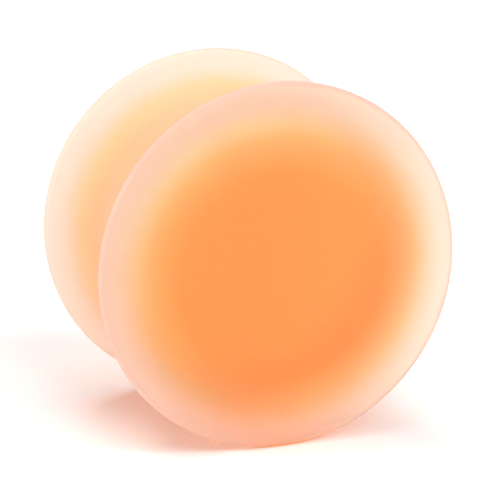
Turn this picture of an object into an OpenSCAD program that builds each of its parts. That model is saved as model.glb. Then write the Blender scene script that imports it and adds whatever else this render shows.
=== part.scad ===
// Solid double-flared ear plug, one moulding, lying on the rims of its two flares.
// Millimetres. The plug's axis runs along Y, its front face looks along -Y, and +Z is up.
// The origin is on the surface that the plug lies on, under its middle.

/* [Barrel] */
// Gauge of the plug, which is the diameter of its straight barrel
barrel_d = 16; // [8:0.5:30]
// Length of the straight barrel, between the two flares
barrel_len = 5.1; // [1:0.1:12]

/* [Flares] */
// Height of each flare above the barrel, all round
flare_rise = 2.4; // [1:0.1:3.2]
// Length of each flare along the plug, from the barrel's end to the face
flare_len = 4; // [3:0.1:8]

/* [Lips] */
// Radius of the rounded lip at the edge of each flare
lip_r = 0.4; // [0.2:0.05:0.8]

/* [Hidden] */

$fn = 144;
silicone_orange = [0.99, 0.64, 0.37];

// Points of the profile are [distance from the plug's axis, distance from its middle].
barrel_r = barrel_d / 2;
barrel_end = barrel_len / 2;
face = barrel_end + flare_len;
flare_r = barrel_r + flare_rise;
lip_centre = [flare_r - lip_r, face - lip_r];

// The sweep is the hollow arc that leaves the barrel level and meets the lip with no corner,
// so its centre is one radius off the barrel's end, and both radii off the lip's centre.
lip_run = lip_centre[1] - barrel_end;
sweep_r = (pow(lip_run, 2) + pow(flare_rise, 2)) / (2 * flare_rise) - lip_r;
sweep_centre = [barrel_r + sweep_r, barrel_end];

// Half of the straight barrel
module barrel_half() {
    square([barrel_r, barrel_end]);
}

// Flare from the barrel's end to the face, hollowed by the sweep, up to the lip's centre
module flare_body() {
    difference() {
        polygon([
            [0, barrel_end],
            sweep_centre,
            lip_centre,
            [lip_centre[0], face],
            [0, face]
        ]);
        translate(sweep_centre)
            circle(r = sweep_r);
    }
}

// Round lip, from the face round to the point where the sweep takes over
module flare_lip() {
    clear_of_lip = 2 * lip_r;
    intersection() {
        translate(lip_centre)
            circle(r = lip_r);
        polygon([
            lip_centre,
            lip_centre + [0, clear_of_lip],
            lip_centre + [clear_of_lip, clear_of_lip],
            sweep_centre
        ]);
    }
}

module half_profile() {
    barrel_half();
    flare_body();
    flare_lip();
}

// Barrel and both flares, turned about the plug's axis and laid on the two rims
module plug() {
    color(silicone_orange)
        translate([0, 0, flare_r])
            rotate([90, 0, 0])
                rotate_extrude() {
                    half_profile();
                    mirror([0, 1])
                        half_profile();
                }
}

plug();
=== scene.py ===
"""Translucent silicone ear plug with a round-lipped flare at each end, lying on the rims of both flares.

Metres, in the CAD frame: the plug's axis runs along Y, its front face looks along -Y, and +Z is up.
"""
import math
from types import SimpleNamespace

import bpy
from mathutils import Matrix, Vector


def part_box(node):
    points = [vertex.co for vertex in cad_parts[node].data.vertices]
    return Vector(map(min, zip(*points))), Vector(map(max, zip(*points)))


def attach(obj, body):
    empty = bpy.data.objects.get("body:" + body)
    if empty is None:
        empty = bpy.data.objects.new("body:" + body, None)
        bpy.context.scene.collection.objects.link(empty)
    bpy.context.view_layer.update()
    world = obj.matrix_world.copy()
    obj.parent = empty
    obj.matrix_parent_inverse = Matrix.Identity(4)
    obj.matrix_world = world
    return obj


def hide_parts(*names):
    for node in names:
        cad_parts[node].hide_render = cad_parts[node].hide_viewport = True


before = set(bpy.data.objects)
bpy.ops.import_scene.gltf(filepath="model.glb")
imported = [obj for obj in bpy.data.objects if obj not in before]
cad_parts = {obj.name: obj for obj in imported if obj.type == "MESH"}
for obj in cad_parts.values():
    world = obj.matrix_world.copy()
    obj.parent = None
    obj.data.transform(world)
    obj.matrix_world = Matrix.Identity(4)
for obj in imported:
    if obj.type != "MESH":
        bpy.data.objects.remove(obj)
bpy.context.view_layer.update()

MM = 0.001
TOUCH = 0.001 * MM

# How finely the finished plug is cut up
SIDES = 720
FACE_STEPS = 7
LIP_STEPS = 28
SWEEP_STEPS = 18
BARREL_STEPS = 5

# Fine line of moulding flash that runs round the crest of each lip. It stands prouder along one untrimmed
# stretch, which is placed by its angle from the top, towards +X.
FLASH_HEIGHT = 0.03 * MM
FLASH_HALF_WIDTH = 0.09 * MM
FLASH_GRAIN = 0.25 * MM
FLASH_DETAIL = 2.0
FLASH_SEED = 7.0
UNTRIMMED_HEIGHT = 0.24 * MM
UNTRIMMED_MIDDLE = math.radians(157)
UNTRIMMED_SPREAD = math.radians(24)

# Silicone's tint, by distance from the plug's axis as a share of the flare's radius: its own orange, paled
# towards the thin lips by painted light that shines through them.
# Each row: that share, red, green, blue, and the share of light that passes straight in.
# A fitting program worked these numbers out, with small renders set against the photograph.
FACE_TINTS_AND_PAINTED_LIGHT = (
    (0.563, 0.978, 0.42, 0.15, 0.65),
    (0.699, 0.978, 0.50, 0.24, 0.65),
    (0.758, 0.978, 0.56, 0.30, 0.66),
    (0.914, 0.978, 0.86, 0.62, 0.67),
)
SIDE_TINTS_AND_PAINTED_LIGHT = (
    (0.824, 0.978, 0.52, 0.32, 0.41),
    (0.898, 0.978, 0.57, 0.50, 0.67),
)
# The crest of each lip, by the same share: paler than its side, a painted highlight where the rounded
# edge catches light, deeper in tint than its face, and less clear than both. These were set one by one.
CREST_PAINTED_HIGHLIGHT = (0.985, 0.68, 0.50, 1)
CREST_CLEARNESS = 0.55
CREST_HIGHLIGHT_START = 0.975
CREST_HIGHLIGHT_END = 0.995
# The untrimmed flash is cloudy, its pale tint painted light shining through the thin fin, and it stands
# past the flare's own radius
FLASH_PAINTED_LIGHT_TINT = (0.99, 0.90, 0.82, 1)
FLASH_CLEARNESS = 0.10
FLASH_START = 1.0
FLASH_END = 1.004
# The middle of each face's deep tint, measured up from the axis, so a little below it. This is painted
# light and shade from above: each face paler at the top and deeper at the bottom.
DEEP_RISE_FOR_PAINTED_TOP_LIGHT = -0.5 * MM

# How light travels in the silicone: how far each colour scatters, in millimetres, how much it leans
# forward, and what is lost on the way, per metre. The same fit worked these out.
SCATTER_DEPTH = (8.2, 10.5, 9.8)
SCATTER_LEAN = 0.76
ABSORB_COLOUR = (0.96, 0.62, 0.03, 1)
ABSORB_DENSITY = 135
# How much silicone bends light, and how rough its skin is, the last from the same fit
SILICONE_IOR = 1.41
SILICONE_ROUGHNESS = 0.62

# Cloudiness inside the silicone, and the satin grain of its skin
CLOUD_SIZE = 3.0 * MM
CLOUD_DETAIL = 2.0
CLOUD_SHIFT = 0.03
CLOUD_TINT = 0.04
SATIN_SIZE = 0.6 * MM
SATIN_DETAIL = 3.0
SATIN_SPREAD = 0.06
GRAIN_SIZE = 0.14 * MM
GRAIN_DETAIL = 2.0
GRAIN_HEIGHT = 0.004 * MM

# Floor: how far it reaches each way, how white it is, its mottle and its roughness
FLOOR_REACH = 3.0
PAPER_WHITE = 0.88
PAPER_MOTTLE = 0.01
PAPER_ROUGHNESS = 0.8
MOTTLE_SIZE = 4.0 * MM
MOTTLE_DETAIL = 2.0

# Light from all round, the brighter light along the horizon, and how high that band reaches, as a share
# of the height of the sky's dome
ROOM_LIGHT = 0.24
HORIZON_LIGHT = 1.05
HORIZON_BAND = 0.14
# Soft lights far off. Each row: name, degrees round from the front, degrees above the floor, degrees
# across, and watts per square metre. The fit gave every strength, both angles of the front light and
# the back light's height. The rest was set one by one, after an earlier fit to the shadows.
SOFT_LIGHTS = (
    ("front_light", 14, 43, 35, 1.39),
    ("right_light", 52, 28, 12, 1.32),
    ("left_light", 260, 24, 10, 1.13),
    ("top_light", 0, 85, 40, 1.16),
    ("back_light", 200, 64, 20, 0.82),
)

# Camera, placed by a program that fitted one view to the outlines of both flares
VIEW_AZIMUTH = -19.476
VIEW_ELEVATION = 14.734
VIEW_DISTANCE = 112.6 * MM
VIEW_SLIDE = 0.36 * MM
VIEW_RISE = -0.50 * MM
LENS_MM = 139.74
SENSOR_MM = 36
NEAREST_SEEN = 5 * MM


def add(tree, kind, inputs=None, **settings):
    """Adds a node, sets its settings, and links or sets its inputs, each given by name or by place."""
    node = tree.nodes.new(kind)
    for name, value in settings.items():
        setattr(node, name, value)
    for key, value in (inputs or {}).items():
        if isinstance(value, bpy.types.NodeSocket):
            tree.links.new(value, node.inputs[key])
        else:
            node.inputs[key].default_value = value
    return node


def calc(tree, operation, *values):
    """One step of arithmetic on sockets or numbers. Gives the socket of its answer."""
    return add(tree, "ShaderNodeMath", dict(enumerate(values)), operation=operation).outputs[0]


def direction(azimuth, elevation):
    """Direction from the plug, by degrees round it from the front and degrees above the floor."""
    around, above = math.radians(azimuth), math.radians(elevation)
    return Vector((
        math.sin(around) * math.cos(above),
        -math.cos(around) * math.cos(above),
        math.sin(above),
    ))


def measure_plug():
    """The plug's sizes, read from the CAD solid."""
    low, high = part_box("plug")
    axis_height = (low.z + high.z) / 2
    half_length = (high.y - low.y) / 2
    flare_radius = (high.x - low.x) / 2
    corners = [vertex.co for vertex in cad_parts["plug"].data.vertices]
    points = [(math.hypot(corner.x, corner.z - axis_height), abs(corner.y)) for corner in corners]
    face_radius = max(radius for radius, along in points if along > half_length - TOUCH)
    on_barrel = [(radius, along) for radius, along in points if along < half_length / 2]
    barrel_radius = min(radius for radius, along in on_barrel)
    barrel_half = max(along for radius, along in on_barrel if radius < barrel_radius + TOUCH)
    return SimpleNamespace(
        axis_height=axis_height,
        half_length=half_length,
        flare_radius=flare_radius,
        lip_radius=flare_radius - face_radius,
        barrel_radius=barrel_radius,
        barrel_half=barrel_half,
    )


def profile_arc(tree, points, radius, start, turn, centre):
    """Arc of the profile, about a centre in the profile's plane."""
    arc = add(tree, "GeometryNodeCurveArc", {
        "Resolution": points,
        "Radius": radius,
        "Start Angle": start,
        "Sweep Angle": turn,
    }, mode="RADIUS")
    moved = add(tree, "GeometryNodeTransform", {"Geometry": arc.outputs["Curve"], "Translation": centre})
    return moved.outputs[0]


def profile_line(tree, points, start, end):
    """Straight run of the profile, cut into equal steps."""
    line = add(tree, "GeometryNodeCurvePrimitiveLine", {"Start": start, "End": end})
    return add(tree, "GeometryNodeResampleCurve", {"Curve": line.outputs[0], "Count": points}).outputs[0]


def point(tree, out, along):
    """Point of the profile: its distance from the axis and its distance from the middle."""
    return add(tree, "ShaderNodeCombineXYZ", {"X": out, "Y": along}).outputs[0]


def half_profile(tree, given):
    """Outline of one half of the plug, from the middle of its face to the middle of its barrel."""
    rim = calc(tree, "SUBTRACT", given["Flare Radius"], given["Flash Height"])
    lip_out = calc(tree, "SUBTRACT", rim, given["Lip Radius"])
    lip_along = calc(tree, "SUBTRACT", given["Half Length"], given["Lip Radius"])
    run = calc(tree, "SUBTRACT", lip_along, given["Barrel Half Length"])
    rise = calc(tree, "SUBTRACT", rim, given["Barrel Radius"])
    squares = calc(tree, "ADD", calc(tree, "MULTIPLY", run, run), calc(tree, "MULTIPLY", rise, rise))
    both_radii = calc(tree, "DIVIDE", squares, calc(tree, "MULTIPLY", rise, 2.0))
    sweep_radius = calc(tree, "SUBTRACT", both_radii, given["Lip Radius"])
    sweep_out = calc(tree, "ADD", given["Barrel Radius"], sweep_radius)
    lean = calc(tree, "ARCTAN2", run, calc(tree, "SUBTRACT", sweep_out, lip_out))
    quarter = math.pi / 2
    face = profile_line(
        tree, given["Face Steps"],
        point(tree, 0.0, given["Half Length"]),
        point(tree, lip_out, given["Half Length"]),
    )
    lip_turn = calc(tree, "SUBTRACT", -quarter, lean)
    lip = profile_arc(tree, given["Lip Steps"], given["Lip Radius"], quarter, lip_turn,
                      point(tree, lip_out, lip_along))
    sweep_start = calc(tree, "SUBTRACT", math.pi, lean)
    sweep = profile_arc(tree, given["Sweep Steps"], sweep_radius, sweep_start, lean,
                        point(tree, sweep_out, given["Barrel Half Length"]))
    barrel = profile_line(
        tree, given["Barrel Steps"],
        point(tree, given["Barrel Radius"], given["Barrel Half Length"]),
        point(tree, given["Barrel Radius"], 0.0),
    )
    joined = add(tree, "GeometryNodeJoinGeometry")
    for part in (barrel, sweep, lip, face):
        tree.links.new(part, joined.inputs[0])
    return joined.outputs[0], lip_along


def flash_ridge(tree, given, place, lip_along):
    """Height of the moulding flash: highest on the lip's crest, ragged, and proud along one stretch."""
    right, along, up = add(tree, "ShaderNodeSeparateXYZ", {0: place}).outputs
    ridge = add(tree, "ShaderNodeMapRange", {
        "Value": calc(tree, "ABSOLUTE", calc(tree, "SUBTRACT", along, lip_along)),
        "From Min": 0.0,
        "From Max": given["Flash Half Width"],
        "To Min": 1.0,
        "To Max": 0.0,
    }, interpolation_type="SMOOTHSTEP").outputs[0]
    ragged = add(tree, "ShaderNodeTexNoise", {
        "W": given["Flash Seed"],
        "Scale": calc(tree, "DIVIDE", 1.0, given["Flash Grain"]),
        "Detail": FLASH_DETAIL,
    }, noise_dimensions="4D").outputs[0]
    from_top = calc(tree, "ARCTAN2", right, up)
    height = add(tree, "ShaderNodeMapRange", {
        "Value": calc(tree, "ABSOLUTE", calc(tree, "SUBTRACT", from_top, given["Untrimmed Middle"])),
        "From Min": 0.0,
        "From Max": given["Untrimmed Spread"],
        "To Min": given["Untrimmed Height"],
        "To Max": given["Flash Height"],
    }, interpolation_type="SMOOTHSTEP").outputs[0]
    return calc(tree, "MULTIPLY", height, calc(tree, "MULTIPLY", ridge, ragged))


def turned_plug_tree():
    """Geometry Nodes tree that turns the plug's profile about its axis, with flash on the lips."""
    tree = bpy.data.node_groups.new("turned_plug", "GeometryNodeTree")
    tree.interface.new_socket("Geometry", in_out="INPUT", socket_type="NodeSocketGeometry")
    sizes = (
        "Axis Height", "Half Length", "Flare Radius", "Lip Radius", "Barrel Radius", "Barrel Half Length",
        "Flash Height", "Flash Half Width", "Flash Grain", "Flash Seed",
        "Untrimmed Height", "Untrimmed Middle", "Untrimmed Spread",
    )
    counts = ("Sides", "Face Steps", "Lip Steps", "Sweep Steps", "Barrel Steps")
    for name in sizes:
        tree.interface.new_socket(name, in_out="INPUT", socket_type="NodeSocketFloat")
    for name in counts:
        tree.interface.new_socket(name, in_out="INPUT", socket_type="NodeSocketInt")
    tree.interface.new_socket("Silicone", in_out="INPUT", socket_type="NodeSocketMaterial")
    tree.interface.new_socket("Geometry", in_out="OUTPUT", socket_type="NodeSocketGeometry")
    given = add(tree, "NodeGroupInput").outputs

    profile, lip_along = half_profile(tree, given)
    profile_size = add(tree, "GeometryNodeAttributeDomainSize", {0: profile}, component="CURVE")
    rings = profile_size.outputs["Point Count"]
    columns = calc(tree, "ADD", given["Sides"], 1.0)
    grid = add(tree, "GeometryNodeMeshGrid", {"Vertices X": rings, "Vertices Y": columns}).outputs["Mesh"]
    index = add(tree, "GeometryNodeInputIndex").outputs[0]
    ring = calc(tree, "FLOOR", calc(tree, "DIVIDE", calc(tree, "ADD", index, 0.5), columns))
    side = calc(tree, "SUBTRACT", index, calc(tree, "MULTIPLY", ring, columns))
    on_profile = add(tree, "GeometryNodeSampleIndex", {
        "Geometry": profile,
        "Value": add(tree, "GeometryNodeInputPosition").outputs[0],
        "Index": ring,
    }, data_type="FLOAT_VECTOR", domain="POINT").outputs[0]
    out, along, _ = add(tree, "ShaderNodeSeparateXYZ", {0: on_profile}).outputs
    angle = calc(tree, "DIVIDE", calc(tree, "MULTIPLY", side, 2 * math.pi), given["Sides"])
    turned = add(tree, "ShaderNodeCombineXYZ", {
        "X": calc(tree, "MULTIPLY", out, calc(tree, "SINE", angle)),
        "Y": along,
        "Z": calc(tree, "MULTIPLY", out, calc(tree, "COSINE", angle)),
    }).outputs[0]
    half = add(tree, "GeometryNodeSetPosition", {"Geometry": grid, "Position": turned}).outputs[0]

    place = add(tree, "GeometryNodeInputPosition").outputs[0]
    outward = add(tree, "ShaderNodeVectorMath", {
        0: add(tree, "ShaderNodeVectorMath", {0: place, 1: (1, 0, 1)}, operation="MULTIPLY").outputs[0],
    }, operation="NORMALIZE").outputs[0]
    height = flash_ridge(tree, given, place, lip_along)
    raised = add(tree, "ShaderNodeVectorMath", {0: outward, "Scale": height}, operation="SCALE").outputs[0]
    half = add(tree, "GeometryNodeSetPosition", {"Geometry": half, "Offset": raised}).outputs[0]

    mirrored = add(tree, "GeometryNodeTransform", {"Geometry": half, "Scale": (1, -1, 1)}).outputs[0]
    other_half = add(tree, "GeometryNodeFlipFaces", {0: mirrored}).outputs[0]
    whole = add(tree, "GeometryNodeJoinGeometry")
    tree.links.new(half, whole.inputs[0])
    tree.links.new(other_half, whole.inputs[0])
    closed = add(tree, "GeometryNodeMergeByDistance", {
        "Geometry": whole.outputs[0],
        "Distance": TOUCH,
    }).outputs[0]
    lift = add(tree, "ShaderNodeCombineXYZ", {"Z": given["Axis Height"]}).outputs[0]
    laid = add(tree, "GeometryNodeTransform", {"Geometry": closed, "Translation": lift}).outputs[0]
    smooth = add(tree, "GeometryNodeSetShadeSmooth", {"Geometry": laid}).outputs[0]
    real = add(tree, "GeometryNodeRealizeInstances", {"Geometry": smooth}).outputs[0]
    finished = add(tree, "GeometryNodeSetMaterial", {
        "Geometry": real,
        "Material": given["Silicone"],
    }).outputs[0]
    add(tree, "NodeGroupOutput", {0: finished})
    return tree


def grown(name, tree, values):
    """Plain mesh object made by a Geometry Nodes tree with these inputs."""
    maker = bpy.data.objects.new(name + "_maker", bpy.data.meshes.new(name + "_start"))
    bpy.context.scene.collection.objects.link(maker)
    modifier = maker.modifiers.new("maker", "NODES")
    modifier.node_group = tree
    sockets = {s.name: s.identifier for s in tree.interface.items_tree if s.in_out == "INPUT"}
    for key, value in values.items():
        modifier[sockets[key]] = value
    seen = maker.evaluated_get(bpy.context.evaluated_depsgraph_get())
    mesh = bpy.data.meshes.new_from_object(seen)
    mesh.materials.pop(index=0)
    bpy.data.objects.remove(maker)
    mesh.name = name
    piece = bpy.data.objects.new(name, mesh)
    bpy.context.scene.collection.objects.link(piece)
    return piece


def new_material(name):
    """New material with one Principled shader. Gives the material, its tree and its shader."""
    material = bpy.data.materials.new(name)
    material.use_nodes = True
    tree = material.node_tree
    tree.nodes.clear()
    shader = add(tree, "ShaderNodeBsdfPrincipled")
    add(tree, "ShaderNodeOutputMaterial", {"Surface": shader.outputs[0]})
    return material, tree, shader


def speckle(tree, place, size, detail):
    """Soft random pattern with features of this size, from about -0.5 to 0.5."""
    noise = add(tree, "ShaderNodeTexNoise", {"Vector": place, "Scale": 1 / size, "Detail": detail})
    return calc(tree, "SUBTRACT", noise.outputs["Fac"], 0.5)


def tint_ramp(tree, share, tints):
    """Tint of the silicone, paled by painted light where it is thin, and how much light passes straight
    in, by distance from the axis.
    """
    ramp = add(tree, "ShaderNodeValToRGB", {"Fac": share})
    stops = ramp.color_ramp.elements
    while len(stops) < len(tints):
        stops.new(1.0)
    for stop, (place, red, green, blue, clearness) in zip(stops, tints):
        stop.position = place
        stop.color = (red, green, blue, clearness)
    return ramp.outputs


def off_axis(tree, place, height):
    """Distance from a line along the plug at this height."""
    apart = add(tree, "ShaderNodeVectorMath", {0: place, 1: (0, 0, height)}, operation="SUBTRACT")
    across = add(tree, "ShaderNodeVectorMath", {0: apart.outputs[0], 1: (1, 0, 1)}, operation="MULTIPLY")
    return add(tree, "ShaderNodeVectorMath", {0: across.outputs[0]}, operation="LENGTH").outputs["Value"]


def rising(tree, value, start, end, **settings):
    """0 up to start, 1 from end, and between them a straight or smooth rise."""
    limits = {"Value": value, "From Min": start, "From Max": end}
    return add(tree, "ShaderNodeMapRange", limits, **settings).outputs[0]


def mixed_colour(tree, share, first, second):
    """First colour where the share is 0, second where it is 1."""
    return add(tree, "ShaderNodeMix", {0: share, 6: first, 7: second}, data_type="RGBA").outputs[2]


def mixed_number(tree, share, first, second):
    """First number where the share is 0, second where it is 1."""
    return add(tree, "ShaderNodeMix", {0: share, 2: first, 3: second}).outputs[0]


def silicone_tint_and_painted_light(tree, plug, place, cloud):
    """Tint and clearness of the silicone: faces, sides, the crests of the lips, and the proud flash. The
    tint holds painted light and shade.
    """
    drift = calc(tree, "MULTIPLY", cloud, CLOUD_SHIFT)
    # Each face's deep tint sits below the axis: painted light and shade, paler at the top and deeper at
    # the bottom
    from_middle = off_axis(tree, place, plug.axis_height + DEEP_RISE_FOR_PAINTED_TOP_LIGHT)
    from_axis = off_axis(tree, place, plug.axis_height)
    face_share = calc(tree, "ADD", calc(tree, "DIVIDE", from_middle, plug.flare_radius), drift)
    side_share = calc(tree, "ADD", calc(tree, "DIVIDE", from_axis, plug.flare_radius), drift)
    # Orange silicone, paled towards the lips by painted light shining through the thin silicone
    face = tint_ramp(tree, face_share, FACE_TINTS_AND_PAINTED_LIGHT)
    side = tint_ramp(tree, side_share, SIDE_TINTS_AND_PAINTED_LIGHT)
    along = calc(tree, "ABSOLUTE", add(tree, "ShaderNodeSeparateXYZ", {0: place}).outputs["Y"])
    on_face = rising(tree, along, plug.half_length - plug.lip_radius, plug.half_length)
    on_crest_highlight = rising(tree, from_axis, CREST_HIGHLIGHT_START * plug.flare_radius, CREST_HIGHLIGHT_END * plug.flare_radius,
                      interpolation_type="SMOOTHSTEP")
    on_flash = rising(tree, from_axis, FLASH_START * plug.flare_radius, FLASH_END * plug.flare_radius,
                      interpolation_type="SMOOTHSTEP")
    tint = mixed_colour(tree, on_face, side["Color"], face["Color"])
    # Painted highlight along the crest of each lip
    tint = mixed_colour(tree, on_crest_highlight, tint, CREST_PAINTED_HIGHLIGHT)
    # Pale flash: painted light shining through the thin fin
    tint = mixed_colour(tree, on_flash, tint, FLASH_PAINTED_LIGHT_TINT)
    clearness = mixed_number(tree, on_face, side["Alpha"], face["Alpha"])
    clearness = mixed_number(tree, on_crest_highlight, clearness, CREST_CLEARNESS)
    clearness = mixed_number(tree, on_flash, clearness, FLASH_CLEARNESS)
    return tint, clearness


def silicone(plug):
    """Cloudy orange silicone: deep where the plug is thick, and pale in the thin lips of the flares by
    painted light shining through them.
    """
    material, tree, shader = new_material("translucent_silicone")
    place = add(tree, "ShaderNodeTexCoord").outputs["Object"]
    cloud = speckle(tree, place, CLOUD_SIZE, CLOUD_DETAIL)
    tint, clearness = silicone_tint_and_painted_light(tree, plug, place, cloud)
    clouded = add(tree, "ShaderNodeHueSaturation", {
        "Value": calc(tree, "MULTIPLY_ADD", cloud, CLOUD_TINT, 1.0),
        "Color": tint,
    })
    tree.links.new(clouded.outputs[0], shader.inputs["Base Color"])
    satin = speckle(tree, place, SATIN_SIZE, SATIN_DETAIL)
    rough = calc(tree, "MULTIPLY_ADD", satin, SATIN_SPREAD, SILICONE_ROUGHNESS)
    tree.links.new(rough, shader.inputs["Roughness"])
    grain = add(tree, "ShaderNodeBump", {
        "Distance": GRAIN_HEIGHT,
        "Height": speckle(tree, place, GRAIN_SIZE, GRAIN_DETAIL),
    })
    tree.links.new(grain.outputs[0], shader.inputs["Normal"])
    shader.inputs["IOR"].default_value = SILICONE_IOR
    shader.inputs["Subsurface Weight"].default_value = 1
    shader.inputs["Subsurface Radius"].default_value = SCATTER_DEPTH
    shader.inputs["Subsurface Scale"].default_value = MM
    shader.inputs["Subsurface Anisotropy"].default_value = SCATTER_LEAN
    # Light that reaches the skin from inside passes out through it
    back = add(tree, "ShaderNodeNewGeometry").outputs["Backfacing"]
    passing = add(tree, "ShaderNodeMapRange", {"Value": back, "To Min": clearness, "To Max": 1.0})
    tree.links.new(passing.outputs[0], shader.inputs["Transmission Weight"])
    inside = add(tree, "ShaderNodeVolumeAbsorption", {
        "Color": ABSORB_COLOUR,
        "Density": ABSORB_DENSITY,
    })
    tree.links.new(inside.outputs[0], tree.nodes["Material Output"].inputs["Volume"])
    return material


def paper_white():
    """Plain near-white floor, faintly mottled."""
    material, tree, shader = new_material("paper_white")
    place = add(tree, "ShaderNodeTexCoord").outputs["Object"]
    mottle = speckle(tree, place, MOTTLE_SIZE, MOTTLE_DETAIL)
    white = calc(tree, "MULTIPLY_ADD", mottle, PAPER_MOTTLE, PAPER_WHITE)
    paper = add(tree, "ShaderNodeCombineColor", {0: white, 1: white, 2: white}).outputs[0]
    tree.links.new(paper, shader.inputs["Base Color"])
    rough = calc(tree, "MULTIPLY_ADD", mottle, PAPER_MOTTLE, PAPER_ROUGHNESS)
    tree.links.new(rough, shader.inputs["Roughness"])
    return material


def make_floor():
    """Large plain floor under the plug."""
    mesh = bpy.data.meshes.new("floor")
    corners = [(x * FLOOR_REACH, y * FLOOR_REACH, 0) for x, y in ((-1, -1), (1, -1), (1, 1), (-1, 1))]
    mesh.from_pydata(corners, [], [(0, 1, 2, 3)])
    mesh.materials.append(paper_white())
    floor = bpy.data.objects.new("floor", mesh)
    bpy.context.scene.collection.objects.link(floor)


def soft_light(name, azimuth, elevation, width, strength):
    """Soft light far off, which lights the whole floor evenly."""
    lamp = bpy.data.lights.new(name, "SUN")
    lamp.angle = math.radians(width)
    lamp.energy = strength
    light = bpy.data.objects.new(name, lamp)
    light.rotation_euler = direction(azimuth, elevation).to_track_quat("Z", "Y").to_euler()
    bpy.context.scene.collection.objects.link(light)


def make_world():
    """White light from all round, brighter along the horizon."""
    world = bpy.data.worlds.new("white_room")
    world.use_nodes = True
    tree = world.node_tree
    tree.nodes.clear()
    way = add(tree, "ShaderNodeTexCoord").outputs["Generated"]
    level = add(tree, "ShaderNodeMapRange", {
        "Value": add(tree, "ShaderNodeSeparateXYZ", {0: way}).outputs["Z"],
        "From Min": 0.0,
        "From Max": HORIZON_BAND,
        "To Min": HORIZON_LIGHT,
        "To Max": ROOM_LIGHT,
    }).outputs[0]
    light = add(tree, "ShaderNodeBackground", {"Color": (1, 1, 1, 1), "Strength": level})
    add(tree, "ShaderNodeOutputWorld", {"Surface": light.outputs[0]})
    bpy.context.scene.world = world


def make_camera(plug):
    """Camera at the photograph's angle, level, aimed past the middle of the plug."""
    back = direction(VIEW_AZIMUTH, VIEW_ELEVATION)
    right = Vector((0, 0, 1)).cross(back).normalized()
    up = back.cross(right)
    lens = bpy.data.cameras.new("camera")
    lens.lens = LENS_MM
    lens.sensor_width = SENSOR_MM
    lens.clip_start = NEAREST_SEEN
    camera = bpy.data.objects.new("camera", lens)
    turned = Matrix((right, up, back)).transposed().to_4x4()
    middle = Vector((0, 0, plug.axis_height))
    stand = middle + back * VIEW_DISTANCE + right * VIEW_SLIDE + up * VIEW_RISE
    camera.matrix_world = Matrix.Translation(stand) @ turned
    bpy.context.scene.collection.objects.link(camera)
    bpy.context.scene.camera = camera


plug = measure_plug()
piece = grown("plug_silicone", turned_plug_tree(), {
    "Axis Height": plug.axis_height,
    "Half Length": plug.half_length,
    "Flare Radius": plug.flare_radius,
    "Lip Radius": plug.lip_radius,
    "Barrel Radius": plug.barrel_radius,
    "Barrel Half Length": plug.barrel_half,
    "Flash Height": FLASH_HEIGHT,
    "Flash Half Width": FLASH_HALF_WIDTH,
    "Flash Grain": FLASH_GRAIN,
    "Flash Seed": FLASH_SEED,
    "Untrimmed Height": UNTRIMMED_HEIGHT,
    "Untrimmed Middle": UNTRIMMED_MIDDLE,
    "Untrimmed Spread": UNTRIMMED_SPREAD,
    "Sides": SIDES,
    "Face Steps": FACE_STEPS,
    "Lip Steps": LIP_STEPS,
    "Sweep Steps": SWEEP_STEPS,
    "Barrel Steps": BARREL_STEPS,
    "Silicone": silicone(plug),
})
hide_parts("plug")
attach(piece, "root")

make_floor()
make_world()
for row in SOFT_LIGHTS:
    soft_light(*row)
make_camera(plug)
bpy.context.scene.view_settings.view_transform = "Standard"
